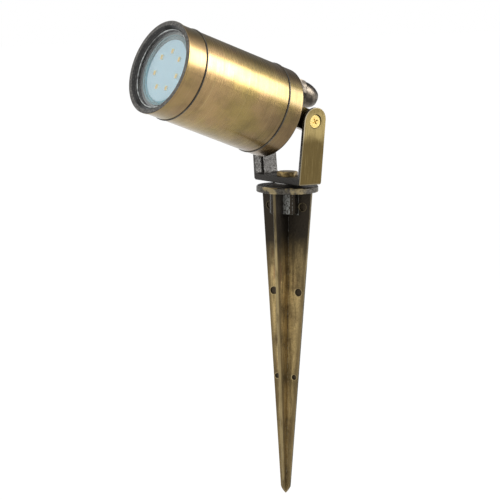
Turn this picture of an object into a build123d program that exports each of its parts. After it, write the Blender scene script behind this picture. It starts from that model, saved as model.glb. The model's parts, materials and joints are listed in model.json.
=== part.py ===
from build123d import *
import math
import os

# Garden spike spotlight in cast and brushed brass, millimetres, +Z up.
#
# The origin is the centre of the spike's flange on its underside, which is the
# level of the ground once the spike is pushed in.  The spike goes down from it.
# A U-bracket turns about Z on the bolt in the flange, and the lamp head tilts
# about the X line through the two screws at the top of the bracket's arms.  The
# beam points along -Y and above the horizon.
#
# The head is built upright in a frame of its own: Z is the head's axis, with
# zero at the tilt line and the beam along +Z, X is the tilt line and Y points to
# the head's upper side.  place_in_head() then leans it into its place.

# ---- Pose ----
HEAD_TILT = 20.0            # the head's axis above the horizon, degrees
BLADE_HEADING = 25.0        # first blade of the spike, degrees from +X towards +Y

# ---- Clearances ----
THREAD_GAP = 0.05           # between a male thread and its female one, on radius
RUN_GAP = 0.05              # between faces and round fits that turn on each other
SEAT_GAP = 0.35             # around a screw's head in its recess
BORE_GAP = 0.3              # around a shank in a washer, or a spigot in a tube

# ---- Cutting ----
PAST = 1.0                  # how far a cut runs past the faces that it opens

# ---- Ground spike ----
FLANGE_R = 22.05
FLANGE_T = 4.4
FLANGE_CHAMFER = 0.7
SPIKE_LENGTH = 220.0        # from the flange's underside to the tip
TIP_LENGTH = 14.0           # rounded end of the spike
TIP_SWELL = 0.68            # radius low on the tip, share of the radius at its top
TIP_SWELL_AT = 0.28         # height of that radius, share of the tip's length
SHOULDER_SLOPE = 6.0        # the turned outline above the tip opens by this, degrees
SHOULDER_DROP = 1.0         # it is full width at least this far under the flange
BLADE_TOP_R = 19.7          # axis to a blade's edge, at the flange
BLADE_END_R = 4.4           # the same where the tip begins
BLADE_EDGE_T = 2.7          # thickness of a blade at its edge, at the flange
BLADE_END_EDGE_T = 1.9      # the same where the tip begins
BLADE_DRAFT = 0.067         # half thickness gained per millimetre towards the root
BLADE_EDGE_CHAMFER = 0.35
BLADE_COUNT = 4
BOSS_W = 20.0               # square boss for the swivel bolt, under the flange
BOSS_H = 16.0
BOSS_CORNER = 2.5           # cut across each upright corner of the boss
BOSS_CHAMFER = 0.8          # round its lower end
PIN_MARK_Z = [-10.5, -72.0, -134.0]     # round marks of the mould's ejector pins, in pairs
PIN_MARK_R = [2.7, 2.7, 1.85]
PIN_MARK_AT = 0.697         # share of the blade's reach at which a mark's middle is
PIN_MARK_DEPTH = 1.2
PIN_MARK_CHAMFER = 0.3

# ---- Swivel bolt and the washers under the bracket ----
BOLT_R = 4.0
BOLT_HEAD_AF = 13.0
BOLT_HEAD_H = 3.3
BOLT_HEAD_CHAMFER = 0.5
BOLT_LENGTH = 25.0
FIBRE_WASHER_R = 10.6
FIBRE_WASHER_T = 1.4
STEEL_WASHER_R = 9.0
STEEL_WASHER_T = 0.75

# ---- U-bracket ----
PIVOT_H = 45.2              # tilt line above the bracket's underside
ARM_SPLAY = 6.9             # each arm leans out by this, degrees
ARM_T = 2.8
BASE_T = 4.4
ARM_BASE_W = 19.2           # width of an arm at the bend
ARM_END_R = 9.2             # round end of an arm
ARM_END_RISE = 0.5          # centre of the round end above the tilt line
BEND_OUT_R = 1.8
BEND_IN_R = 2.5
ARM_CHAMFER = 0.45
RIB_W = 6.5                 # rib down the middle of an arm's inner face
RIB_H = 1.4
PAD_R = 7.5                 # flat pad round the tilt screw, inside the arm
PAD_H = 1.9
SPOT_GAP = 0.5              # room round the ear where the pad is spot-faced

# ---- Tilt screws and their washers ----
SCREW_R = 2.5
SCREW_HEAD_R = 4.55
SCREW_RIM_H = 0.35
SCREW_LENGTH = 12.0
SCREW_SINK = 0.5            # head's face below the arm's outer face
CROSS_LENGTH = 4.6          # cross recess in the screw's head
CROSS_WIDTH = 0.95
CROSS_DEPTH = 1.3
CROSS_TURN = 25.0
TILT_WASHER_R = 7.0
TILT_WASHER_T = 0.8

# ---- Head: stations along its axis, counted from the tilt line ----
PIVOT_SETBACK = 12.8        # tilt line behind the rear face
CAP_LENGTH = 13.1
SEAL_T = 0.9
BODY_LENGTH = 72.8
BEZEL_LENGTH = 15.8

# ---- Head: tube, caps and seals ----
HEAD_R = 32.5
TUBE_WALL = 3.0
EDGE_CHAMFER = 0.4
SEAL_PROUD = 0.6            # seal's rim outside the tube
SPIGOT_LENGTH = 7.0
SPIGOT_WALL = 3.0
SEAL_ROUND = 0.45           # rounding of a seal's rim, share of its thickness
CAP_PLATE_T = 5.0
CAP_FILLET = 1.7
EAR_T = 7.0
EAR_R = 7.5

# ---- Bezel, window and the rings behind it ----
LIP_PROUD = 0.6             # lip outside the tube
LIP_W = 3.3
LIP_LENGTH = 1.6
LIP_ROUND = 0.5
MOUTH_NARROWS = 1.8         # on radius, from the lip's inner edge to the window
MOUTH_DEPTH = 3.3
BEZEL_WALL = 2.35           # round the window
GLASS_T = 3.0
GLASS_CHAMFER = 0.3
GASKET_W = 3.0
GASKET_T = 1.2
RING_STEP_IN = 0.4          # the ring's step inside the gasket's edge
RING_STEP_W = 1.2
RING_STEP_H = 1.6
RING_T = 3.8

# ---- Lamp ----
LAMP_GAP = 1.2              # between the lamp's rim and the spigots round it
LAMP_SETBACK = 1.4          # lamp's rim behind the window
LAMP_RIM_H = 6.5
LAMP_WALL = 1.0
LAMP_LENGTH = 46.0
LAMP_NECK_R = 11.0
LAMP_NECK_H = 9.0
LAMP_BELLY_IN = 4.5         # the belly is this much narrower than the rim
COVER_T = 0.9
COVER_GAP = 0.15
BOARD_MARGIN = 3.0          # lamp's rim to the board's edge
BOARD_T = 1.2
CHIP_CLEAR = 0.3            # between the chips and the lamp's cover
CHIP_COUNT = 7
CHIP_INSET = 8.4            # board's edge to the middle of a chip
CHIP_W = 2.8                # along the tilt line; all the chips stand the same way
CHIP_L = 3.5
CHIP_H = 0.6
CHIP_START_ANGLE = 88.0     # first chip, degrees from +X towards the head's upper side
PIN_SPACING = 10.0
PIN_R = 1.6
PIN_HEAD_R = 2.5
PIN_HEAD_H = 2.0
PIN_LENGTH = 7.0

# ---- Lampholder and what carries it ----
HOLDER_R = 14.0
HOLDER_H = 17.0
HOLDER_CHAMFER = 1.2
STRAP_W = 12.0
STRAP_T = 1.2
STRAP_END_GAP = 5.2         # from the end of a foot to the cap's inside wall
STRAP_FOOT = 8.0
STRAP_BEND_R = 1.6
SMALL_SCREW_R = 1.5
SMALL_HEAD_R = 2.8
SMALL_HEAD_H = 1.8
SMALL_SCREW_LENGTH = 6.0
SMALL_SCREW_SPACING = 18.0
PAN_ROUND = 0.6             # rounding of a pan head's rim, share of its height
EARTH_SCREW_R = 2.0
EARTH_HEAD_R = 3.8
EARTH_HEAD_H = 2.4
EARTH_IN_X = 14.7           # from the cap's inside wall, along X
EARTH_IN_Y = 9.2            # and along Y
TERMINAL_W = 17.0
TERMINAL_D = 9.0
TERMINAL_H = 12.0
TERMINAL_X = -4.5
TERMINAL_IN_Y = 10.2        # from the cap's inside wall, along Y
TERMINAL_HOLE_R = 1.6
TERMINAL_ROUND = 1.0

# ---- Cable gland ----
GLAND_IN_Y = 12.7           # gland's axis inside the head's upper side
GLAND_THREAD_R = 7.9
GLAND_AF = 18.0
GLAND_HEX_H = 5.0
GLAND_BORE_R = 5.0
GLAND_OUTER_LENGTH = 8.0
GLAND_RING_T = 1.2
GLAND_RING_W = 1.5
GLAND_NUT_GAP = 0.4
GLAND_NUT_HEX_H = 8.0
GLAND_NUT_LENGTH = 22.3
GLAND_NUT_WALL = 1.4
GLAND_NUT_NECK_EXTRA = 0.3  # neck of the dome outside the hexagon's flats
GLAND_NUT_NECK_H = 3.0
GLAND_NUT_BEVEL = 1.0       # at the foot of the neck, and inside under the mouth
GLAND_DOME_SWELL = 0.87     # radius of the dome near its end, share of the neck's
GLAND_DOME_DROP = 4.0       # how far under the end that radius is
GLAND_MOUTH_RIM = 1.5       # flat rim round the mouth
GLAND_MOUTH_R = 4.6
GLAND_SEAL_SHELF = 0.6      # the seal's seat is this much narrower than the thread
CABLE_R = 3.6

# ---- Worked out from the sizes above ----
BRACKET_Z = FLANGE_T + FIBRE_WASHER_T + STEEL_WASHER_T + RUN_GAP
BASE_TOP_Z = BRACKET_Z + BASE_T
PIVOT_Z = BRACKET_Z + PIVOT_H
SPLAY = math.radians(ARM_SPLAY)
ARM_OUT_X = HEAD_R          # the arms are flush with the head's sides at the tilt line
BASE_HALF_W = ARM_OUT_X - PIVOT_H * math.tan(SPLAY)
ARM_IN_X = ARM_OUT_X - ARM_T / math.cos(SPLAY)
PAD_X = ARM_IN_X - PAD_H
EAR_X = PAD_X - RUN_GAP - TILT_WASHER_T
REAR_Z = PIVOT_SETBACK
REAR_SEAL_Z = REAR_Z + CAP_LENGTH
BODY_Z = REAR_SEAL_Z + SEAL_T
FRONT_SEAL_Z = BODY_Z + BODY_LENGTH
BEZEL_Z = FRONT_SEAL_Z + SEAL_T
LIP_Z = BEZEL_Z + BEZEL_LENGTH
CAP_INSIDE_Z = REAR_Z + CAP_PLATE_T
SCREW_HOLE_Z = REAR_Z + CAP_PLATE_T / 4     # bottom of the screw holes inside the cap
SPIGOT_R = HEAD_R - TUBE_WALL - BORE_GAP
INSIDE_R = SPIGOT_R - SPIGOT_WALL
LIP_R = HEAD_R + LIP_PROUD
LIP_IN_R = LIP_R - LIP_W
MOUTH_R = LIP_IN_R - MOUTH_NARROWS
GLASS_BORE_R = HEAD_R - BEZEL_WALL
GLASS_R = GLASS_BORE_R - BORE_GAP / 2
GASKET_IN_R = GLASS_R - GASKET_W
RING_STEP_R = GASKET_IN_R - RING_STEP_IN
RING_IN_R = RING_STEP_R - RING_STEP_W
LAMP_R = INSIDE_R - LAMP_GAP
BOARD_R = LAMP_R - BOARD_MARGIN
CHIP_RING_R = BOARD_R - CHIP_INSET
STRAP_SPAN = 2 * (INSIDE_R - STRAP_END_GAP - STRAP_FOOT)
EARTH_X = INSIDE_R - EARTH_IN_X
EARTH_Y = EARTH_IN_Y - INSIDE_R
TERMINAL_Y = TERMINAL_IN_Y - INSIDE_R
GLAND_Y = HEAD_R - GLAND_IN_Y
GLASS_Z = LIP_Z - MOUTH_DEPTH - GLASS_T
GASKET_Z = GLASS_Z - GASKET_T
RING_Z = GASKET_Z - RING_T
LAMP_TOP_Z = GLASS_Z - LAMP_SETBACK
LAMP_BASE_Z = LAMP_TOP_Z - LAMP_LENGTH
BOARD_Z = LAMP_TOP_Z - COVER_T - CHIP_CLEAR - CHIP_H
HOLDER_TOP_Z = LAMP_BASE_Z - BORE_GAP
HOLDER_Z = HOLDER_TOP_Z - HOLDER_H


def place_in_head(shape):
    """Lean a piece built on the head's own axes into the head's place."""
    return Pos(0, 0, PIVOT_Z) * Rot(90 - HEAD_TILT, 0, 0) * shape


def rounded_face(corners):
    """Closed outline in the XY plane; each corner is (x, y, radius)."""
    count = len(corners)
    arcs = []
    ends = []
    for index in range(count):
        here = Vector(*corners[index][:2])
        before = Vector(*corners[index - 1][:2])
        after = Vector(*corners[(index + 1) % count][:2])
        radius = corners[index][2]
        if radius == 0:
            ends.append((here, here))
            arcs.append(None)
            continue
        back = (before - here).normalized()
        ahead = (after - here).normalized()
        half = math.radians(back.get_angle(ahead)) / 2
        reach = radius / math.tan(half)
        middle = (back + ahead).normalized() * (radius / math.sin(half) - radius)
        ends.append((here + back * reach, here + ahead * reach))
        arcs.append(ThreePointArc(ends[-1][0], here + middle, ends[-1][1]))
    edges = [arc for arc in arcs if arc is not None]
    for index in range(count):
        start = ends[index][1]
        stop = ends[(index + 1) % count][0]
        if (stop - start).length > 1e-6:
            edges.append(Line(start, stop))
    return make_face(edges)


def turned(corners):
    """Ring or disc turned about Z; each corner is (radius, z) or (radius, z, round)."""
    outline = rounded_face([(c[0], c[1], c[2] if len(c) > 2 else 0) for c in corners])
    return revolve(Plane.XZ * outline, Axis.Z)


def rod(radius, low, high):
    """Round bar about Z from one height to another."""
    return Pos(0, 0, low) * Cylinder(radius, high - low, align=(Align.CENTER, Align.CENTER, Align.MIN))


def ring(outer, inner, low, high):
    """Flat ring about Z."""
    return rod(outer, low, high) - rod(inner, low, high)


def hexagon_bar(across_flats, low, high):
    """Six-sided bar about Z."""
    outline = RegularPolygon(across_flats / 2, 6, major_radius=False)
    return Pos(0, 0, low) * extrude(outline, high - low)


def hex_head(across_flats, low, high, cut):
    """Hexagon with its top corners turned off at 30 degrees."""
    corner_r = across_flats / math.sqrt(3)
    face_r = corner_r - cut * math.sqrt(3)
    turned_blank = turned([(0, low), (corner_r, low), (corner_r, high - cut), (face_r, high), (0, high)])
    return hexagon_bar(across_flats, low, high) & turned_blank


def along_x(shape, side):
    """Stand a piece built about Z on the X line, on the +X or the -X side."""
    return Rot(0, 90 * side, 0) * shape


# ---- Ground spike ----

def blade_reach(z):
    """Axis to a blade's edge at a height below the flange."""
    share = -z / (SPIKE_LENGTH - TIP_LENGTH)
    return BLADE_TOP_R + (BLADE_END_R - BLADE_TOP_R) * share


def blade_edge(z):
    """Thickness of a blade's edge at a height below the flange."""
    share = -z / (SPIKE_LENGTH - TIP_LENGTH)
    return BLADE_EDGE_T + (BLADE_END_EDGE_T - BLADE_EDGE_T) * share


def cross_section(z):
    """Cross of four drafted blades."""
    reach = blade_reach(z)
    edge = blade_edge(z) / 2
    root = (edge + BLADE_DRAFT * reach) / (1 + BLADE_DRAFT)
    points = []
    for index in range(BLADE_COUNT):
        turn = 360 / BLADE_COUNT * index
        outer = edge - BLADE_EDGE_CHAMFER
        inner = reach - BLADE_EDGE_CHAMFER
        for x, y in [(root, -root), (inner, -edge), (reach, -outer), (reach, outer), (inner, edge)]:
            points.append(Vector(x, y).rotate(Axis.Z, turn))
    return Pos(0, 0, z) * make_face(Polyline(*points, close=True))


def make_spike():
    low = -SPIKE_LENGTH
    blades = loft([cross_section(0), cross_section(low)], ruled=True)
    tip_z = low + TIP_LENGTH
    tip_r = math.hypot(BLADE_END_R, BLADE_END_EDGE_T / 2)
    wide = FLANGE_R
    opening = tip_z + (wide - tip_r) / math.tan(math.radians(SHOULDER_SLOPE))
    shoulder_z = min(opening, -SHOULDER_DROP)
    swell_z = low + TIP_LENGTH * TIP_SWELL_AT
    tip_edges = [
        Line((0, 0), (0, low)),
        ThreePointArc((0, low), (tip_r * TIP_SWELL, swell_z), (tip_r, tip_z)),
        Line((tip_r, tip_z), (wide, shoulder_z)),
        Line((wide, shoulder_z), (wide, 0)),
        Line((wide, 0), (0, 0)),
    ]
    blades &= revolve(Plane.XZ * make_face(tip_edges), Axis.Z)
    for z, radius in zip(PIN_MARK_Z, PIN_MARK_R):
        for side in (-1, 1):
            blades -= pin_mark(side * blade_reach(z) * PIN_MARK_AT, z, radius)
    boss = Pos(0, 0, -BOSS_H / 2) * Box(BOSS_W, BOSS_W, BOSS_H)
    boss = chamfer(boss.edges().filter_by(Axis.Z), BOSS_CORNER)
    boss = chamfer(boss.faces().sort_by(Axis.Z)[0].edges(), BOSS_CHAMFER)
    flange = turned([
        (0, 0), (FLANGE_R - FLANGE_CHAMFER / 2, 0), (FLANGE_R, FLANGE_CHAMFER / 2),
        (FLANGE_R, FLANGE_T - FLANGE_CHAMFER), (FLANGE_R - FLANGE_CHAMFER, FLANGE_T), (0, FLANGE_T),
    ])
    body = blades + boss + flange
    body -= rod(BOLT_R + THREAD_GAP, -BOSS_H - PAST, FLANGE_T + PAST)
    return Rot(0, 0, BLADE_HEADING) * body


def pin_mark(x, z, radius):
    """Shallow round recess in the front face of the first pair of blades, with a broken edge."""
    half = blade_edge(z) / 2 + BLADE_DRAFT * blade_reach(z) * (1 - PIN_MARK_AT)
    rim = PIN_MARK_DEPTH - PIN_MARK_CHAMFER
    outside = rim + PIN_MARK_DEPTH
    recess = turned([
        (0, 0), (radius, 0), (radius, rim), (radius + PIN_MARK_DEPTH, outside), (0, outside),
    ])
    return Pos(x, PIN_MARK_DEPTH - half, z) * Rot(90, 0, 0) * recess


def make_swivel_bolt():
    head_z = BASE_TOP_Z + RUN_GAP
    head = hex_head(BOLT_HEAD_AF, head_z, head_z + BOLT_HEAD_H, BOLT_HEAD_CHAMFER)
    shank = rod(BOLT_R, head_z - BOLT_LENGTH, head_z)
    shank = chamfer(shank.edges().sort_by(Axis.Z)[0], BOLT_HEAD_CHAMFER)
    return head + shank


def make_fibre_washer():
    return ring(FIBRE_WASHER_R, BOLT_R + BORE_GAP, FLANGE_T, FLANGE_T + FIBRE_WASHER_T)


def make_steel_washer():
    low = FLANGE_T + FIBRE_WASHER_T
    return ring(STEEL_WASHER_R, BOLT_R + BORE_GAP, low, low + STEEL_WASHER_T)


# ---- U-bracket ----

def arm_x(height, inside):
    """Half the width of the U at a height over its underside."""
    drop = ARM_T / math.cos(SPLAY) if inside else 0
    return BASE_HALF_W + height * math.tan(SPLAY) - drop


def make_bracket():
    top = PIVOT_H + ARM_END_R + ARM_END_RISE + PAST
    u_shape = rounded_face([
        (-arm_x(0, False), 0, BEND_OUT_R), (arm_x(0, False), 0, BEND_OUT_R),
        (arm_x(top, False), top, 0), (arm_x(top, True), top, 0),
        (arm_x(BASE_T, True), BASE_T, BEND_IN_R), (-arm_x(BASE_T, True), BASE_T, BEND_IN_R),
        (-arm_x(top, True), top, 0), (-arm_x(top, False), top, 0),
    ])
    frame = extrude(Plane.XZ * u_shape, ARM_BASE_W, both=True)
    centre_h = PIVOT_H + ARM_END_RISE
    half = ARM_BASE_W / 2
    outline = make_face([
        Line((-half, 0), (half, 0)),
        Line((half, 0), (ARM_END_R, centre_h)),
        ThreePointArc((ARM_END_R, centre_h), (0, centre_h + ARM_END_R), (-ARM_END_R, centre_h)),
        Line((-ARM_END_R, centre_h), (-half, 0)),
    ])
    frame &= extrude(Plane.YZ * outline, 2 * HEAD_R, both=True)
    frame = chamfer(outer_rim(frame), ARM_CHAMFER)
    for side in (-1, 1):
        frame += arm_rib(side)
        frame += Pos(0, 0, PIVOT_H) * along_x(rod(PAD_R, PAD_X, ARM_IN_X + ARM_T / 4), side)
        frame -= Pos(0, 0, PIVOT_H) * along_x(rod(EAR_R + SPOT_GAP, ARM_IN_X / 2, PAD_X), side)
    frame -= rod(BOLT_R + RUN_GAP, -PAST, BASE_T + PAST)
    for side in (-1, 1):
        frame -= Pos(0, 0, PIVOT_H) * along_x(screw_seat(), side)
    return Pos(0, 0, BRACKET_Z) * frame


def outer_rim(frame):
    """Edges round the outer face of the arms, on both sides of the bracket."""
    reach = arm_x(0, False) - BEND_OUT_R
    chosen = []
    for edge in frame.edges():
        middle = edge.position_at(0.5)
        ends = [edge.position_at(0), edge.position_at(1)]
        on_outside = all(abs(abs(p.X) - arm_x(p.Z, False)) < 1e-3 for p in ends + [middle])
        if on_outside and abs(middle.X) > reach:
            chosen.append(edge)
    return chosen


def arm_rib(side):
    """Rib down the middle of an arm's inner face, from the bend to the pad."""
    low = BASE_T
    high = PIVOT_H
    buried = ARM_T / 2
    foot = rounded_face([
        (arm_x(low, True) + buried, low, 0), (arm_x(high, True) + buried, high, 0),
        (arm_x(high, True) - RIB_H, high, 0), (arm_x(low, True) - RIB_H, low, 0),
    ])
    rib = extrude(Plane.XZ * foot, RIB_W / 2, both=True)
    return rib if side > 0 else mirror(rib, Plane.YZ)


def screw_seat():
    """Hole and countersink for a tilt screw, about Z, outwards along +Z."""
    rim_z = ARM_OUT_X - SCREW_SINK - SCREW_RIM_H
    cone_z = rim_z - (SCREW_HEAD_R - SCREW_R)
    wide = SCREW_HEAD_R + SEAT_GAP
    outside = ARM_OUT_X + ARM_T
    return turned([
        (0, 0), (SCREW_R + RUN_GAP, 0), (SCREW_R + RUN_GAP, cone_z), (SCREW_HEAD_R + RUN_GAP, rim_z),
        (wide, rim_z), (wide, outside), (0, outside),
    ])


def make_tilt_screws():
    head_z = ARM_OUT_X - SCREW_SINK
    rim_z = head_z - SCREW_RIM_H
    cone_z = rim_z - (SCREW_HEAD_R - SCREW_R)
    blank = turned([
        (0, head_z - SCREW_LENGTH), (SCREW_R, head_z - SCREW_LENGTH), (SCREW_R, cone_z),
        (SCREW_HEAD_R, rim_z), (SCREW_HEAD_R, head_z), (0, head_z),
    ])
    for turn in (CROSS_TURN, CROSS_TURN + 90):
        slot = Box(CROSS_LENGTH, CROSS_WIDTH, 2 * CROSS_DEPTH)
        blank -= Pos(0, 0, head_z) * Rot(0, 0, turn) * slot
    screws = [Pos(0, 0, PIVOT_Z) * along_x(blank, side) for side in (-1, 1)]
    return Compound(children=screws)


def make_tilt_washers():
    blank = ring(TILT_WASHER_R, SCREW_R + BORE_GAP, EAR_X, EAR_X + TILT_WASHER_T)
    return Compound(children=[Pos(0, 0, PIVOT_Z) * along_x(blank, side) for side in (-1, 1)])


# ---- Head: shell ----

def make_rear_cap():
    shell = turned([
        (0, REAR_Z), (HEAD_R, REAR_Z, CAP_FILLET), (HEAD_R, REAR_SEAL_Z - EDGE_CHAMFER),
        (HEAD_R - EDGE_CHAMFER, REAR_SEAL_Z), (SPIGOT_R, REAR_SEAL_Z),
        (SPIGOT_R, REAR_SEAL_Z + SPIGOT_LENGTH), (INSIDE_R, REAR_SEAL_Z + SPIGOT_LENGTH),
        (INSIDE_R, CAP_INSIDE_Z, CAP_FILLET), (0, CAP_INSIDE_Z),
    ])
    for side in (-1, 1):
        shell += ear(side)
    shell -= Pos(0, GLAND_Y, 0) * rod(GLAND_THREAD_R + THREAD_GAP, REAR_Z - PAST, CAP_INSIDE_Z + PAST)
    for x in (-1, 1):
        hole = rod(SMALL_SCREW_R + THREAD_GAP, SCREW_HOLE_Z, CAP_INSIDE_Z + PAST)
        shell -= Pos(x * strap_foot_x(), 0, 0) * hole
    earth_hole = rod(EARTH_SCREW_R + THREAD_GAP, SCREW_HOLE_Z, CAP_INSIDE_Z + PAST)
    shell -= Pos(EARTH_X, EARTH_Y, 0) * earth_hole
    return place_in_head(shell)


def ear(side):
    """Lug of the rear cap that a tilt screw is driven into."""
    outline = make_face([
        Line((-EAR_R, REAR_Z + CAP_PLATE_T / 2), (EAR_R, REAR_Z + CAP_PLATE_T / 2)),
        Line((EAR_R, REAR_Z + CAP_PLATE_T / 2), (EAR_R, 0)),
        ThreePointArc((EAR_R, 0), (0, -EAR_R), (-EAR_R, 0)),
        Line((-EAR_R, 0), (-EAR_R, REAR_Z + CAP_PLATE_T / 2)),
    ])
    lug = Pos(EAR_X - EAR_T, 0, 0) * extrude(Plane.YZ * outline, EAR_T)
    lug -= rod_along_x(SCREW_R + THREAD_GAP, EAR_X - EAR_T - PAST, EAR_X + PAST)
    return lug if side > 0 else mirror(lug, Plane.YZ)


def rod_along_x(radius, low, high):
    """Round bar on the tilt line."""
    return along_x(rod(radius, low, high), 1)


def make_body_tube():
    inner = HEAD_R - TUBE_WALL
    top = BODY_Z + BODY_LENGTH
    return place_in_head(turned([
        (inner, BODY_Z), (HEAD_R - EDGE_CHAMFER, BODY_Z), (HEAD_R, BODY_Z + EDGE_CHAMFER),
        (HEAD_R, top - EDGE_CHAMFER), (HEAD_R - EDGE_CHAMFER, top), (inner, top),
    ]))


def make_seal(low):
    """Rubber ring squeezed between two parts of the shell."""
    rim = HEAD_R + SEAL_PROUD
    bead = SEAL_T * SEAL_ROUND
    return place_in_head(turned([
        (SPIGOT_R + BORE_GAP / 2, low), (rim, low, bead), (rim, low + SEAL_T, bead),
        (SPIGOT_R + BORE_GAP / 2, low + SEAL_T),
    ]))


def make_bezel():
    low = BEZEL_Z - SPIGOT_LENGTH
    lip_low = LIP_Z - LIP_LENGTH
    return place_in_head(turned([
        (INSIDE_R, low), (SPIGOT_R, low), (SPIGOT_R, BEZEL_Z),
        (HEAD_R - EDGE_CHAMFER, BEZEL_Z), (HEAD_R, BEZEL_Z + EDGE_CHAMFER),
        (HEAD_R, lip_low - (LIP_R - HEAD_R)), (LIP_R, lip_low), (LIP_R, LIP_Z, LIP_ROUND),
        (LIP_IN_R, LIP_Z, LIP_ROUND), (MOUTH_R, LIP_Z - MOUTH_DEPTH),
        (GLASS_BORE_R, LIP_Z - MOUTH_DEPTH), (GLASS_BORE_R, RING_Z), (INSIDE_R, RING_Z),
    ]))


# ---- Head: window ----

def make_lens():
    top = GLASS_Z + GLASS_T
    return place_in_head(turned([
        (0, GLASS_Z), (GLASS_R - GLASS_CHAMFER, GLASS_Z), (GLASS_R, GLASS_Z + GLASS_CHAMFER),
        (GLASS_R, top - GLASS_CHAMFER), (GLASS_R - GLASS_CHAMFER, top), (0, top),
    ]))


def make_lens_gasket():
    return place_in_head(ring(GLASS_R, GASKET_IN_R, GASKET_Z, GASKET_Z + GASKET_T))


def make_retaining_ring():
    rim = GLASS_BORE_R - THREAD_GAP
    step_z = GASKET_Z - RING_STEP_H
    return place_in_head(turned([
        (RING_IN_R, RING_Z), (rim, RING_Z), (rim, GASKET_Z), (RING_STEP_R, GASKET_Z),
        (RING_STEP_R, step_z), (RING_IN_R, step_z),
    ]))


# ---- Head: lamp ----

def make_lamp_shell():
    rim_z = LAMP_TOP_Z - LAMP_RIM_H
    neck_z = LAMP_BASE_Z + LAMP_NECK_H
    belly_z = (rim_z + neck_z) / 2 + LAMP_RIM_H
    seat_r = BOARD_R + BORE_GAP
    seat_z = BOARD_Z - BOARD_T
    edges = [
        Line((0, LAMP_BASE_Z), (LAMP_NECK_R, LAMP_BASE_Z)),
        Line((LAMP_NECK_R, LAMP_BASE_Z), (LAMP_NECK_R, neck_z)),
        ThreePointArc((LAMP_NECK_R, neck_z), (LAMP_R - LAMP_BELLY_IN, belly_z), (LAMP_R, rim_z)),
        Line((LAMP_R, rim_z), (LAMP_R, LAMP_TOP_Z)),
        Line((LAMP_R, LAMP_TOP_Z), (LAMP_R - LAMP_WALL, LAMP_TOP_Z)),
        Line((LAMP_R - LAMP_WALL, LAMP_TOP_Z), (LAMP_R - LAMP_WALL, LAMP_TOP_Z - COVER_T)),
        Line((LAMP_R - LAMP_WALL, LAMP_TOP_Z - COVER_T), (seat_r, LAMP_TOP_Z - COVER_T)),
        Line((seat_r, LAMP_TOP_Z - COVER_T), (seat_r, seat_z)),
        Line((seat_r, seat_z), (0, seat_z)),
        Line((0, seat_z), (0, LAMP_BASE_Z)),
    ]
    return place_in_head(revolve(Plane.XZ * make_face(edges), Axis.Z))


def make_lamp_cover():
    return place_in_head(rod(LAMP_R - LAMP_WALL - COVER_GAP, LAMP_TOP_Z - COVER_T, LAMP_TOP_Z))


def make_led_board():
    return place_in_head(rod(BOARD_R, BOARD_Z - BOARD_T, BOARD_Z))


def make_led_chips():
    chips = []
    for index in range(CHIP_COUNT):
        angle = math.radians(CHIP_START_ANGLE + 360 / CHIP_COUNT * index)
        seat = Pos(CHIP_RING_R * math.cos(angle), CHIP_RING_R * math.sin(angle), BOARD_Z + CHIP_H / 2)
        chips.append(place_in_head(seat * Box(CHIP_W, CHIP_L, CHIP_H)))
    return Compound(children=chips)


def pin_profile(gap):
    """Mushroom pin of a twist-lock lamp, with a gap all round for its socket."""
    stem = PIN_R + gap
    cap = PIN_HEAD_R + gap
    low = LAMP_BASE_Z - PIN_LENGTH - gap
    return turned([
        (0, low), (cap, low), (cap, low + PIN_HEAD_H + 2 * gap), (stem, low + PIN_HEAD_H + 2 * gap),
        (stem, LAMP_BASE_Z), (0, LAMP_BASE_Z),
    ])


def make_lamp_pins():
    sides = (-1, 1)
    return Compound(children=[place_in_head(Pos(s * PIN_SPACING / 2, 0, 0) * pin_profile(0)) for s in sides])


def make_lampholder():
    body = turned([
        (0, HOLDER_Z), (HOLDER_R, HOLDER_Z), (HOLDER_R, HOLDER_TOP_Z - HOLDER_CHAMFER),
        (HOLDER_R - HOLDER_CHAMFER, HOLDER_TOP_Z), (0, HOLDER_TOP_Z),
    ])
    for side in (-1, 1):
        body -= Pos(side * PIN_SPACING / 2, 0, 0) * pin_profile(BORE_GAP)
        screw_end = HOLDER_Z + SMALL_SCREW_LENGTH
        screw_hole = rod(SMALL_SCREW_R + THREAD_GAP, HOLDER_Z - PAST, screw_end + PAST)
        body -= Pos(0, side * SMALL_SCREW_SPACING / 2, 0) * screw_hole
    return place_in_head(body)


# ---- Head: what carries the lampholder ----

def strap_foot_x():
    """Screw in a foot of the strap, from the head's axis."""
    return STRAP_SPAN / 2 + STRAP_FOOT / 2


def make_holder_strap():
    inner = STRAP_SPAN / 2 - STRAP_T
    outer = STRAP_SPAN / 2
    foot = outer + STRAP_FOOT
    low = CAP_INSIDE_Z
    top = HOLDER_Z
    round_in = STRAP_BEND_R - STRAP_T
    outline = rounded_face([
        (-foot, low, 0), (-inner, low, STRAP_BEND_R), (-inner, top - STRAP_T, round_in),
        (inner, top - STRAP_T, round_in), (inner, low, STRAP_BEND_R), (foot, low, 0),
        (foot, low + STRAP_T, 0), (outer, low + STRAP_T, round_in), (outer, top, STRAP_BEND_R),
        (-outer, top, STRAP_BEND_R), (-outer, low + STRAP_T, round_in), (-foot, low + STRAP_T, 0),
    ])
    strap = extrude(Plane.XZ * outline, STRAP_W / 2, both=True)
    crossbar = Pos(0, 0, top - STRAP_T / 2) * Box(STRAP_W, SMALL_SCREW_SPACING + STRAP_W / 2, STRAP_T)
    strap += crossbar
    hole_r = SMALL_SCREW_R + BORE_GAP
    for side in (-1, 1):
        strap -= Pos(0, side * SMALL_SCREW_SPACING / 2, 0) * rod(hole_r, top - STRAP_T - PAST, top + PAST)
        strap -= Pos(side * strap_foot_x(), 0, 0) * rod(hole_r, low - PAST, low + STRAP_T + PAST)
    return place_in_head(strap)


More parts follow.
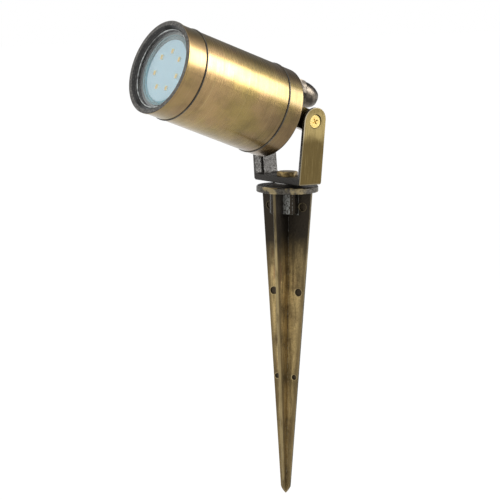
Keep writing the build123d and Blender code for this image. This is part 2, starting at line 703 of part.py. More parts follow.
def pan_screw(radius, head_r, head_h, length):
    """Pan-head screw about Z, its head's underside at zero and its thread below."""
    head = turned([(0, 0), (head_r, 0), (head_r, head_h, head_h * PAN_ROUND), (0, head_h)])
    return head + rod(radius, -length, 0)


def make_holder_screws():
    screw = pan_screw(SMALL_SCREW_R, SMALL_HEAD_R, SMALL_HEAD_H, SMALL_SCREW_LENGTH)
    screws = []
    for side in (-1, 1):
        seat = Pos(0, side * SMALL_SCREW_SPACING / 2, HOLDER_Z - STRAP_T) * Rot(180, 0, 0)
        screws.append(place_in_head(seat * screw))
    return Compound(children=screws)


def make_strap_screws():
    length = STRAP_T + CAP_PLATE_T / 2
    screw = pan_screw(SMALL_SCREW_R, SMALL_HEAD_R, SMALL_HEAD_H, length)
    seat_z = CAP_INSIDE_Z + STRAP_T
    return Compound(children=[place_in_head(Pos(s * strap_foot_x(), 0, seat_z) * screw) for s in (-1, 1)])


def make_earth_screw():
    length = CAP_PLATE_T / 2
    screw = pan_screw(EARTH_SCREW_R, EARTH_HEAD_R, EARTH_HEAD_H, length)
    return place_in_head(Pos(EARTH_X, EARTH_Y, CAP_INSIDE_Z) * screw)


def make_terminal_block():
    block = Box(TERMINAL_W, TERMINAL_D, TERMINAL_H)
    block = fillet(block.edges().filter_by(Axis.Z), TERMINAL_ROUND)
    for side in (-1, 1):
        block -= Pos(side * TERMINAL_W / 4, 0, 0) * Cylinder(TERMINAL_HOLE_R, TERMINAL_H)
    seat = Pos(TERMINAL_X, TERMINAL_Y, CAP_INSIDE_Z + TERMINAL_H / 2)
    return place_in_head(seat * block)


# ---- Cable gland ----

def place_gland(shape):
    """Put a piece built outwards along +Z from the rear face on the gland's axis."""
    return place_in_head(Pos(0, GLAND_Y, REAR_Z) * Rot(180, 0, 0) * shape)


def make_gland_body():
    hex_low = GLAND_RING_T
    hex_high = hex_low + GLAND_HEX_H
    body = hexagon_bar(GLAND_AF, hex_low, hex_high)
    body += rod(GLAND_THREAD_R, -CAP_PLATE_T, hex_low)
    body += rod(GLAND_THREAD_R - BORE_GAP, hex_high, hex_high + GLAND_OUTER_LENGTH)
    body -= rod(GLAND_BORE_R, -CAP_PLATE_T - PAST, hex_high + GLAND_OUTER_LENGTH + PAST)
    return place_gland(body)


def gland_nut_z():
    """Open end of the dome nut, from the rear face."""
    return GLAND_RING_T + GLAND_HEX_H + GLAND_NUT_GAP


def make_gland_ring():
    inner = GLAND_THREAD_R + THREAD_GAP
    return place_gland(ring(inner + GLAND_RING_W, inner, 0, GLAND_RING_T))


def make_gland_nut():
    low = gland_nut_z()
    high = low + GLAND_NUT_LENGTH
    dome_low = low + GLAND_NUT_HEX_H
    corner = GLAND_AF / math.sqrt(3)
    neck = GLAND_AF / 2 + GLAND_NUT_NECK_EXTRA
    neck_low = dome_low + GLAND_NUT_BEVEL
    neck_high = neck_low + GLAND_NUT_NECK_H
    rim = GLAND_MOUTH_R + GLAND_MOUTH_RIM
    shape = make_face([
        Line((0, low), (corner, low)),
        Line((corner, low), (corner, dome_low)),
        Line((corner, dome_low), (neck, neck_low)),
        Line((neck, neck_low), (neck, neck_high)),
        ThreePointArc((neck, neck_high), (neck * GLAND_DOME_SWELL, high - GLAND_DOME_DROP), (rim, high)),
        Line((rim, high), (0, high)),
        Line((0, high), (0, low)),
    ])
    nut = revolve(Plane.XZ * shape, Axis.Z)
    nut &= hexagon_bar(GLAND_AF, low, neck_low) + rod(corner, neck_low, high)
    thread_r = GLAND_THREAD_R - BORE_GAP + THREAD_GAP
    thread_z = low + GLAND_OUTER_LENGTH
    nut -= turned([
        (0, low - PAST), (thread_r, low - PAST), (thread_r, thread_z), (seal_r(), thread_z),
        (seal_r(), high - GLAND_NUT_WALL - GLAND_NUT_BEVEL), (GLAND_MOUTH_R, high - GLAND_NUT_WALL),
        (GLAND_MOUTH_R, high + PAST), (0, high + PAST),
    ])
    return place_gland(nut)


def seal_r():
    """Radius of the gland's rubber seal and of its seat in the dome nut."""
    return GLAND_THREAD_R - BORE_GAP - GLAND_SEAL_SHELF


def make_gland_seal():
    low = gland_nut_z() + GLAND_OUTER_LENGTH + BORE_GAP
    high = gland_nut_z() + GLAND_NUT_LENGTH - GLAND_NUT_WALL - GLAND_NUT_BEVEL - BORE_GAP
    return place_gland(ring(seal_r() - THREAD_GAP, CABLE_R, low, high))


PARTS = {
    "spike": make_spike,
    "swivel_bolt": make_swivel_bolt,
    "fibre_washer": make_fibre_washer,
    "steel_washer": make_steel_washer,
    "bracket": make_bracket,
    "tilt_screws": make_tilt_screws,
    "tilt_washers": make_tilt_washers,
    "rear_cap": make_rear_cap,
    "rear_seal": lambda: make_seal(REAR_SEAL_Z),
    "body_tube": make_body_tube,
    "front_seal": lambda: make_seal(FRONT_SEAL_Z),
    "bezel": make_bezel,
    "lens": make_lens,
    "lens_gasket": make_lens_gasket,
    "retaining_ring": make_retaining_ring,
    "lamp_shell": make_lamp_shell,
    "lamp_cover": make_lamp_cover,
    "led_board": make_led_board,
    "led_chips": make_led_chips,
    "lamp_pins": make_lamp_pins,
    "lampholder": make_lampholder,
    "holder_strap": make_holder_strap,
    "holder_screws": make_holder_screws,
    "strap_screws": make_strap_screws,
    "earth_screw": make_earth_screw,
    "terminal_block": make_terminal_block,
    "gland_body": make_gland_body,
    "gland_ring": make_gland_ring,
    "gland_nut": make_gland_nut,
    "gland_seal": make_gland_seal,
}

os.makedirs("parts", exist_ok=True)
for name, make in PARTS.items():
    shape = make()
    shape.label = name
    export_step(shape, f"parts/{name}.step")
    print(f"{name}: {len(shape.solids())} solids, {shape.volume:.1f} mm3")
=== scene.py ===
"""Looks of the garden spike spotlight: finishes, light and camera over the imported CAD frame."""

import bpy
import json
import math
from mathutils import Matrix, Vector


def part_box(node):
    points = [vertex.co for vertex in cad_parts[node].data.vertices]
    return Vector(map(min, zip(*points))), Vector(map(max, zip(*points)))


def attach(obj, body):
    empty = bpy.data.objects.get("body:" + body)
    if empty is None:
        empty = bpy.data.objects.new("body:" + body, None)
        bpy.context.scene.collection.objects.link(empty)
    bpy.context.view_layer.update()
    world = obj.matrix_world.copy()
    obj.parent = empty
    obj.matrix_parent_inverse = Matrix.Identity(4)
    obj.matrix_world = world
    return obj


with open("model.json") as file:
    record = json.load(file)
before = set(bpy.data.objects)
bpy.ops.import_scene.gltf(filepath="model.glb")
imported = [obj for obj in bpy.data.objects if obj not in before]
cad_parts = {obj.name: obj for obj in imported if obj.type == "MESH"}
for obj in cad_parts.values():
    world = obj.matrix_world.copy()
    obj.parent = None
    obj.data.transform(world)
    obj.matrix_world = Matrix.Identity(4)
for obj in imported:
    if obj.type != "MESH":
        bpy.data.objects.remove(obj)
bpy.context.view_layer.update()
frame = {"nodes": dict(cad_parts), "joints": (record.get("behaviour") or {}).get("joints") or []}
nodes = frame["nodes"]

MM = 0.001
WHITE = (1.0, 1.0, 1.0, 1.0)

# ---- Places, in metres and in the frame's axes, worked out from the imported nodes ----
BOLT_HEAD = 3.3 * MM                    # height of the bolt's head over the bracket's base
FLOOR_GAP = 0.2 * MM                    # between the spike's tip and the floor
TILT_JOINT = next(j for j in frame["joints"] if j["name"] == "tilt")
TILT_LINE = Vector(TILT_JOINT["pos_m"])
HEAD_TILT = math.radians(20.0)          # the head's axis above the horizon
HEAD_AXIS = Vector((0, -math.cos(HEAD_TILT), math.sin(HEAD_TILT)))
BLADE_HEADING = math.radians(25.0)      # first blade of the spike, from +X
SPIKE_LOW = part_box("spike")[0]
BASE_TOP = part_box("swivel_bolt")[1].z - BOLT_HEAD
FLOOR_Z = SPIKE_LOW.z - FLOOR_GAP

# ---- Camera: a fit to the outlines of the head, bracket and flange in the photograph ----
CAMERA_AZIMUTH = math.radians(54.23)    # round from -Y towards +X
CAMERA_ELEVATION = math.radians(8.0)
CAMERA_ROLL = math.radians(0.16)
CAMERA_DISTANCE = 1.5657                # to the plane through the flange's centre
CAMERA_FOCAL = 2201.3                   # in pixels of the photograph
PHOTO_SIDE = 500
FLANGE_PIXEL = (287.31, 191.16)         # where the flange's centre is in the photograph
CAMERA_CLIP = (0.05, 50)
SENSOR = 36.0

# ---- Stations and radii of the head that finishes and small pieces follow, in metres ----
HEAD_TO_FRAME = Matrix.Translation(TILT_LINE) @ Matrix.Rotation(math.pi / 2 - HEAD_TILT, 4, "X")
HEAD_REAR = 12.8 * MM                   # rear face, from the tilt line along the beam
HEAD_FRONT = 116.3 * MM                 # lip
WINDOW_FACE = 113.0 * MM
WINDOW_EDGE_R = 28.0 * MM               # where the window meets the bezel's cone
CHIP_FACE = 107.4 * MM
CHIP_RING_R = 13.6 * MM
CHIP_COUNT = 7
CHIP_START = math.radians(88.0)
CHIP_SIZE = (2.8 * MM, 3.5 * MM)

# ---- Blades of the spike ----
BLADE_LOW = SPIKE_LOW.z + 14 * MM       # the tip begins here
BLADE_TOP_R = 19.7 * MM
BLADE_END_R = 4.4 * MM
# Distance from the axis, height and radius of each pair of marks, in millimetres
MARK_PLACES = ((13.19, -10.5, 2.7), (10.0, -72.0, 2.7), (6.79, -134.0, 1.85))


# ---- Building materials ----

class Paint:
    """One material and short names for the nodes that make it."""

    def __init__(self, name, **constants):
        self.material = bpy.data.materials.new(name)
        self.material.use_nodes = True
        self.tree = self.material.node_tree
        self.shader = self.tree.nodes["Principled BSDF"]
        for key, value in constants.items():
            self.put(self.shader.inputs[key.replace("_", " ")], value)

    def put(self, socket, value):
        if isinstance(value, bpy.types.NodeSocket):
            self.tree.links.new(value, socket)
        else:
            socket.default_value = value

    def add(self, kind, inputs=None, **settings):
        node = self.tree.nodes.new("ShaderNode" + kind)
        for key, value in settings.items():
            setattr(node, key, value)
        for key, value in (inputs or {}).items():
            self.put(node.inputs[key], value)
        return node

    def math(self, operation, a, b=0.0):
        return self.add("Math", {0: a, 1: b}, operation=operation).outputs[0]

    def vector(self, operation, a, b=(0, 0, 0)):
        node = self.add("VectorMath", {0: a, 1: b}, operation=operation)
        return node.outputs["Value" if operation in ("DOT_PRODUCT", "LENGTH") else "Vector"]

    def split(self, vector):
        return self.add("SeparateXYZ", {0: vector}).outputs[:3]

    def join(self, x, y, z):
        return self.add("CombineXYZ", {0: x, 1: y, 2: z}).outputs[0]

    def step(self, value, low, high, start=0.0, end=1.0):
        """Smooth change from start to end as value goes from low to high."""
        inputs = {"Value": value, "From Min": low, "From Max": high, "To Min": start, "To Max": end}
        return self.add("MapRange", inputs, interpolation_type="SMOOTHSTEP").outputs[0]

    def ramp(self, value, low, high, start=0.0, end=1.0):
        """Straight change from start to end as value goes from low to high."""
        inputs = {"Value": value, "From Min": low, "From Max": high, "To Min": start, "To Max": end}
        return self.add("MapRange", inputs).outputs[0]

    def band(self, value, low, high, soft):
        """1 while value is between low and high, with soft sides."""
        rise = self.step(value, low - soft, low + soft)
        fall = self.step(value, high + soft, high - soft)
        return self.math("MULTIPLY", rise, fall)

    def times(self, colour, factor):
        return self.vector("MULTIPLY", colour, self.join(factor, factor, factor))

    def noise(self, vector, scale, detail=2.0, roughness=0.5):
        inputs = {"Vector": vector, "Scale": scale, "Detail": detail, "Roughness": roughness}
        return self.add("TexNoise", inputs).outputs["Fac"]

    def mix(self, factor, a, b):
        """Colour a where factor is 0 and colour b where it is 1."""
        node = self.add("Mix", data_type="RGBA")
        for index, value in ((0, factor), (6, a), (7, b)):
            if isinstance(value, tuple) and len(value) == 3:
                value = (*value, 1.0)
            self.put(node.inputs[index], value)
        return node.outputs[2]

    def bump(self, height, distance, normal=None):
        inputs = {"Height": height, "Distance": distance, "Strength": 1.0}
        if normal is not None:
            inputs["Normal"] = normal
        return self.add("Bump", inputs).outputs[0]

    def place(self):
        """Position in the frame's axes at rest."""
        return self.add("TexCoord").outputs["Object"]

    def facing(self):
        """Surface normal in the frame's axes at rest."""
        return self.add("TexCoord").outputs["Normal"]

    def to_head(self, vector):
        """A vector in the head's own axes: Z along the beam, X along the tilt line."""
        inputs = {"Vector": vector, "Angle": HEAD_TILT - math.pi / 2}
        return self.add("VectorRotate", inputs, rotation_type="X_AXIS").outputs[0]

    def head_place(self):
        """Position in the head's own axes, from the middle of the tilt line."""
        from_line = self.vector("SUBTRACT", self.place(), tuple(TILT_LINE))
        return self.to_head(from_line)

    def from_axis(self, place):
        """Distance from the Z axis."""
        x, y = self.split(place)[:2]
        return self.vector("LENGTH", self.join(x, y, 0.0))

    def product(self, first, *others):
        """Several factors multiplied in turn."""
        for other in others:
            first = self.math("MULTIPLY", first, other)
        return first

    def mix_shader(self, factor, other):
        """Show the other shader where the factor is 1."""
        inputs = {0: factor, 1: self.shader.outputs[0], 2: other.outputs[0]}
        both = self.add("MixShader", inputs).outputs[0]
        self.tree.links.new(both, self.tree.nodes["Material Output"].inputs["Surface"])

    def finish(self, **sockets):
        for key, value in sockets.items():
            self.put(self.shader.inputs[key.replace("_", " ")], value)
        return self.material


def grained(name, scale, detail, dark, light, roughness, metallic=0.0, relief=0.0, grit=0.5):
    """Plain material in a fine grain between two colours. A pair as roughness follows the grain."""
    p = Paint(name, Metallic=metallic)
    grain = p.noise(p.place(), scale, detail, grit)
    if isinstance(roughness, tuple):
        roughness = p.step(grain, 0.3, 0.7, *roughness)
    p.finish(Base_Color=p.mix(grain, dark, light), Roughness=roughness)
    if relief:
        p.finish(Normal=p.bump(grain, relief))
    return p.material


def turned_scratches(p, place):
    """Fine circular lines that a lathe and an abrasive pad leave, from 0 to 1."""
    x, y, z = p.split(place)
    radius = p.math("SQRT", p.math("ADD", p.math("MULTIPLY", x, x), p.math("MULTIPLY", y, y)))
    along = p.math("ADD", z, radius)
    lines = 0.5
    for pitch, stretch, share in ((0.25 * MM, 22.0, 0.45), (0.8 * MM, 12.0, 0.55)):
        vector = p.join(p.math("MULTIPLY", x, stretch), p.math("MULTIPLY", y, stretch),
                        p.math("MULTIPLY", along, 1 / pitch))
        layer = p.math("SUBTRACT", p.noise(vector, 1.0, 2.0, 0.6), 0.5)
        lines = p.math("ADD", lines, p.math("MULTIPLY", layer, share))
    return lines


def tangent_round_head(p, place):
    """Direction of the turned lines, for the stretch of the highlights."""
    around = p.vector("CROSS_PRODUCT", (0, 0, 1), place)
    inputs = {"Vector": around, "Angle": math.pi / 2 - HEAD_TILT}
    back = p.add("VectorRotate", inputs, rotation_type="X_AXIS").outputs[0]
    turn = p.add("VectorTransform", {0: back}, vector_type="VECTOR",
                 convert_from="OBJECT", convert_to="WORLD")
    return turn.outputs[0]


BRASS_LIGHT = (0.44, 0.340, 0.150)
BRASS_MID = (0.292, 0.210, 0.068)
BRASS_DARK = (0.150, 0.102, 0.036)
BRASS_ROSE = (0.330, 0.214, 0.096)
BRASS_EDGE_HIGHLIGHT = (0.70, 0.61, 0.43)
REAR_SHADE = (66 * MM, 0.48)           # length of the rear darkened as painted shade, and its share of brightness
EDGE_FACING = (0.55, 0.86)              # how far the normal of a chamfer with a painted highlight is along the beam
CAP_EDGE = (2 * MM, 4 * MM)             # painted highlights on the edges begin this far from the rear face
LIP_EDGE = (1.8 * MM, 2.4 * MM)         # and end this far from the lip
BEZEL_SHADE_LEVEL = 0.86                      # the bezel's share of brightness, painted shade that dims its highlight


def brushed_brass(name):
    """Lathe-turned antique brass of the head, darker towards the rear as painted shade, with painted
    highlights on its chamfered edges.
    """
    p = Paint(name, Metallic=1.0, Anisotropic=0.45, Coat_Weight=0.35, Coat_Roughness=0.12)
    place = p.head_place()
    z = p.split(place)[2]
    lines = turned_scratches(p, place)
    clouds = p.noise(place, 26.0, 3.0, 0.55)
    stains = p.noise(place, 75.0, 4.0, 0.6)
    colour = p.mix(p.step(clouds, 0.38, 0.62), BRASS_MID, BRASS_ROSE)
    colour = p.mix(p.step(lines, 0.42, 0.30), colour, BRASS_DARK)
    colour = p.mix(p.step(lines, 0.56, 0.72), colour, BRASS_LIGHT)
    # painted shade: the brass darkens towards the rear
    length, level = REAR_SHADE
    colour = p.times(colour, p.step(z, HEAD_REAR, HEAD_REAR + length, level, 1.0))
    colour = p.times(colour, p.step(stains, 0.30, 0.62, 0.80, 1.06))
    nz = p.split(p.to_head(p.facing()))[2]
    # painted highlight on the chamfered edges
    bevel = p.product(p.band(p.math("ABSOLUTE", nz), *EDGE_FACING, 0.08),
                      p.step(z, *(HEAD_REAR + at for at in CAP_EDGE)),
                      p.step(z, *(HEAD_FRONT - at for at in LIP_EDGE)))
    colour = p.mix(bevel, colour, BRASS_EDGE_HIGHLIGHT)
    roughness = p.step(lines, 0.3, 0.7, 0.32, 0.21)
    return p, place, colour, roughness, p.bump(lines, 0.03 * MM)


def head_brass():
    p, place, colour, roughness, normal = brushed_brass("brushed_brass")
    return p.finish(Base_Color=colour, Roughness=roughness, Normal=normal,
                    Tangent=tangent_round_head(p, place))


LIP_BROWN = (0.040, 0.036, 0.031)
LIP_WORN = (0.160, 0.150, 0.130)
CONE_BLACK_AND_SHADE = (0.013, 0.012, 0.011)
CONE_LINE = (0.110, 0.108, 0.100)


def bezel_brass():
    """The same brass, darker as painted shade, with a dull brown rim in front and a blackened turned cone
    inside it, whose near-black is partly painted shade.
    """
    p, place, colour, roughness, normal = brushed_brass("bezel_brass")
    x, y, z = p.split(place)
    facing = p.to_head(p.facing())
    nz = p.split(facing)[2]
    outwards = p.vector("DOT_PRODUCT", facing, p.vector("NORMALIZE", p.join(x, y, 0.0)))
    front = p.step(nz, 0.55, 0.8)
    inside = p.step(outwards, -0.2, -0.4)
    mottle = p.noise(place, 750.0, 4.0, 0.6)
    grooves = p.noise(p.join(0.0, 0.0, z), 1900.0, 2.0, 0.5)
    rim = p.mix(p.step(mottle, 0.44, 0.66), LIP_BROWN, LIP_WORN)
    flecks = p.math("ADD", grooves, p.math("MULTIPLY", mottle, 0.5))
    # near-black of the cone: its dark finish together with painted shade of the recess
    cone = p.mix(p.step(flecks, 0.78, 0.92), CONE_BLACK_AND_SHADE, CONE_LINE)
    # painted shade: the bezel's brass is darker than the head's
    colour = p.mix(front, p.times(colour, BEZEL_SHADE_LEVEL), rim)
    colour = p.mix(inside, colour, cone)
    dull = p.math("MAXIMUM", front, inside)
    roughness = p.step(dull, 0.0, 1.0, 0.27, 0.40)
    metallic = p.step(dull, 0.0, 1.0, 1.0, 0.45)
    height = p.math("MULTIPLY", mottle, dull)
    return p.finish(Base_Color=colour, Roughness=roughness, Metallic=metallic,
                    Normal=p.bump(height, 0.10 * MM, normal), Tangent=tangent_round_head(p, place))


def seal_rubber():
    """Brown-black rubber of the two rings that show, with a light film of polish on them."""
    p = Paint("seal_rubber")
    place = p.place()
    grain = p.noise(place, 900.0, 3.0, 0.6)
    film = p.noise(place, 60.0, 2.0, 0.5)
    colour = p.mix(grain, (0.020, 0.016, 0.011), (0.045, 0.036, 0.026))
    colour = p.mix(p.math("MULTIPLY", p.step(film, 0.45, 0.7), 0.6), colour, (0.150, 0.125, 0.085))
    return p.finish(Base_Color=colour, Roughness=p.step(grain, 0.3, 0.7, 0.30, 0.45),
                    Normal=p.bump(grain, 0.02 * MM))


def rubber():
    return grained("black_rubber", 1500.0, 3.0, (0.010, 0.010, 0.010), (0.028, 0.026, 0.024), (0.42, 0.58),
                   relief=0.02 * MM, grit=0.6)


WINDOW_TINT = (0.985, 0.996, 0.996, 1)
COVER_TINT = (0.97, 1.0, 1.0, 1)


def clear(name, tint, ior, scale, haze):
    """Clear solid that lets the lamps' light through to what lies behind it."""
    p = Paint(name, Base_Color=tint, Transmission_Weight=1.0, IOR=ior)
    smear = p.noise(p.place(), scale, 3.0, 0.6)
    p.finish(Roughness=p.step(smear, 0.4, 0.8, 0.0, haze))
    path = p.add("LightPath")
    open_way = p.add("BsdfTransparent", {0: tint})
    p.mix_shader(path.outputs["Is Shadow Ray"], open_way)
    return p.material


def ring_metal():
    """Turned grey metal of the ring that holds the glass, in light and dark steps."""
    p = Paint("ring_metal", Metallic=0.7)
    place = p.head_place()
    steps = p.noise(p.join(0.0, 0.0, p.from_axis(place)), 2100.0, 1.0, 0.5)
    lines = turned_scratches(p, place)
    colour = p.mix(p.step(steps, 0.42, 0.56), (0.022, 0.024, 0.024), (0.46, 0.49, 0.48))
    colour = p.mix(p.math("MULTIPLY", lines, 0.25), colour, (0.20, 0.21, 0.205))
    return p.finish(Base_Color=colour, Roughness=0.35, Normal=p.bump(steps, 0.15 * MM))


GASKET_BLACK = (27.35 * MM, 27.55 * MM)     # radii where its black inner edge turns grey


def gasket_rubber():
    """Grey rubber under the window, black along its inner edge."""
    p = Paint("gasket_rubber")
    place = p.head_place()
    grain = p.noise(place, 1300.0, 3.0, 0.6)
    grey = p.mix(grain, (0.16, 0.165, 0.16), (0.30, 0.305, 0.295))
    colour = p.mix(p.step(p.from_axis(place), *GASKET_BLACK), (0.008, 0.008, 0.008), grey)
    return p.finish(Base_Color=colour, Roughness=0.5, Normal=p.bump(grain, 0.03 * MM))


SHELL_SHADE_HEIGHTS = (-2 * MM, 14 * MM)        # heights over the head's axis where grey, painted shade, takes over
SHELL_OUTER = (22.6 * MM, 24.2 * MM)    # radii where it does


def lamp_plastic():
    """Moulded shell of the lamp: aqua round the board as a painted stand-in for light refracted at the
    cover's edge, and in grey steps above it and at its rim, the grey above being painted shade.
    """
    p = Paint("lamp_body_white")
    place = p.head_place()
    y = p.split(place)[1]
    radius = p.from_axis(place)
    speckle = p.noise(place, 900.0, 2.0)
    steps = p.noise(p.join(0.0, 0.0, radius), 1700.0, 1.0, 0.5)
    # painted light: aqua for light refracted at the cover's edge
    aqua = p.mix(speckle, (0.16, 0.55, 0.66), (0.24, 0.66, 0.78))
    grey = p.mix(p.step(steps, 0.40, 0.60), (0.07, 0.10, 0.10), (0.26, 0.34, 0.33))
    # painted shade towards the top of the shell
    shaded_top = p.step(y, *SHELL_SHADE_HEIGHTS)
    outer = p.step(radius, *SHELL_OUTER, 0.0, 0.7)
    colour = p.mix(p.math("MAXIMUM", p.math("MULTIPLY", shaded_top, 0.85), outer), aqua, grey)
    return p.finish(Base_Color=colour, Roughness=0.35, Normal=p.bump(speckle, 0.01 * MM))


def board_white():
    """White solder mask of the lamp's board, pale blue under the cover."""
    return grained("board_white", 500.0, 3.0, (0.54, 0.78, 0.90), (0.62, 0.84, 0.95), 0.4,
                   relief=0.01 * MM)


def chip_package():
    """Cream plastic case of a light-emitting chip."""
    return grained("chip_package", 2500.0, 3.0, (0.98, 0.93, 0.80), (1.0, 0.97, 0.86), (0.35, 0.5))


def chip_yellow():
    """Phosphor gel in the chip's window."""
    return grained("chip_phosphor", 2500.0, 3.0, (1.0, 0.62, 0.09), (1.0, 0.74, 0.18), (0.3, 0.45))


def sealant_and_glint():
    """Thin line of clear sealant round the window, painted pale in places as a glint of light along the
    window's edge.
    """
    p = Paint("window_sealant_glint")
    cloud = p.noise(p.place(), 200.0, 4.0, 0.7)
    # painted highlight: pale patches as a glint along the window's edge
    colour = p.mix(p.step(cloud, 0.36, 0.60), (0.20, 0.20, 0.19), (0.86, 0.90, 0.88))
    return p.finish(Base_Color=colour, Roughness=0.25, Normal=p.bump(cloud, 0.1 * MM))


CAST_BRASS = (0.360, 0.265, 0.118)
CAST_BRIGHT = (0.500, 0.395, 0.200)
CAST_PATINA = (0.130, 0.095, 0.045)
CAST_BLACK = (0.030, 0.024, 0.017)
CAST_GREY = (0.300, 0.305, 0.285)
CAST_RUST = (0.170, 0.085, 0.042)
CAST_EDGE_WEAR_AND_HIGHLIGHT = (0.440, 0.345, 0.170)
MARK_FLOOR_PATINA_AND_SHADE = (0.052, 0.040, 0.026)
BLACK_FADE = (-60 * MM, -28 * MM)       # heights between which the blackened top fades out
FADE_DRIFT = 34 * MM                    # how far that fade wanders up and down
SHADE_DEPTH = (4.5 * MM, 1.2 * MM)      # in from a blade's edge, where its side darkens
RUB_AND_LIGHT_HEIGHTS = (-98 * MM, -52 * MM)     # the brighter part of the blades, rubbed brass with painted light
RUB_AND_LIGHT_REACH = (4 * MM, 12 * MM)
ROOT_REACH = (4 * MM, 2 * MM)           # where the blades meet, in darker patina and painted shade
STRIP_DEPTH = (0.35 * MM, 0.20 * MM)    # the bright strip on a blade's edge, wear and painted highlight: in from the edge
STRIP_OUTSIDE = (-0.9 * MM, -0.4 * MM)  # past it, where the boss and flange begin
STRIP_ASIDE = (1.25 * MM, 0.55 * MM)    # aside from the middle of the blade
STRIP_LOWER = (-120 * MM, -40 * MM)     # heights between which it grows brighter
STRIP_UPPER = (-22 * MM, -44 * MM)      # and, from the flange down, comes out of the black
DARK_END_REACH = (2.6 * MM, 3.4 * MM)   # the first blade's edge is dark from here outwards
DARK_END_HEIGHTS = (-40 * MM, -64 * MM)
CORNER_GLINT_WIDTH = (0.30 * MM, 0.10 * MM)   # the grey line where two blades meet, a painted reflection
BOSS_R = 10.1 * MM                      # half side of the square boss
BOSS_LOW = -16.6 * MM
LIT_FACET_FROM = (1.5 * MM, 2.5 * MM)   # the painted light of a lit facet on the boss's front begins here
FLANGE_LOW = -0.2 * MM
FLANGE_DARK = (0.036, 0.031, 0.025)
FLANGE_LIGHT = (0.100, 0.092, 0.078)


def cast_skin(p, place, pitch):
    """Height of the sand-cast skin, from 0 to 1: bumps of one pitch with finer pitting."""
    coarse = p.noise(place, 1 / pitch, 2.0, 0.5)
    fine = p.noise(place, 3.2 / pitch, 2.0, 0.6)
    return p.math("ADD", p.math("MULTIPLY", coarse, 0.7), p.math("MULTIPLY", fine, 0.3))


def pin_marks(p, x, y, z):
    """Inside and rim of the round ejector-pin marks on the front face of two blades, 0 or 1."""
    inside = 0.0
    rim = 0.0
    front = p.math("LESS_THAN", y, 0.0)
    for at, height, radius in MARK_PLACES:
        across = p.math("SUBTRACT", p.math("ABSOLUTE", x), at * MM)
        up = p.math("SUBTRACT", z, height * MM)
        away = p.vector("LENGTH", p.join(across, up, 0.0))
        hole = p.step(away, (radius + 0.1) * MM, (radius - 0.1) * MM)
        edge = p.band(away, (radius + 0.05) * MM, (radius + 0.45) * MM, 0.12 * MM)
        inside = p.math("MAXIMUM", inside, p.math("MULTIPLY", hole, front))
        rim = p.math("MAXIMUM", rim, p.math("MULTIPLY", edge, front))
    return inside, rim


def to_blades(p, vector):
    """A vector in axes along the blades."""
    inputs = {"Vector": vector, "Angle": -BLADE_HEADING}
    return p.add("VectorRotate", inputs, rotation_type="Z_AXIS").outputs[0]


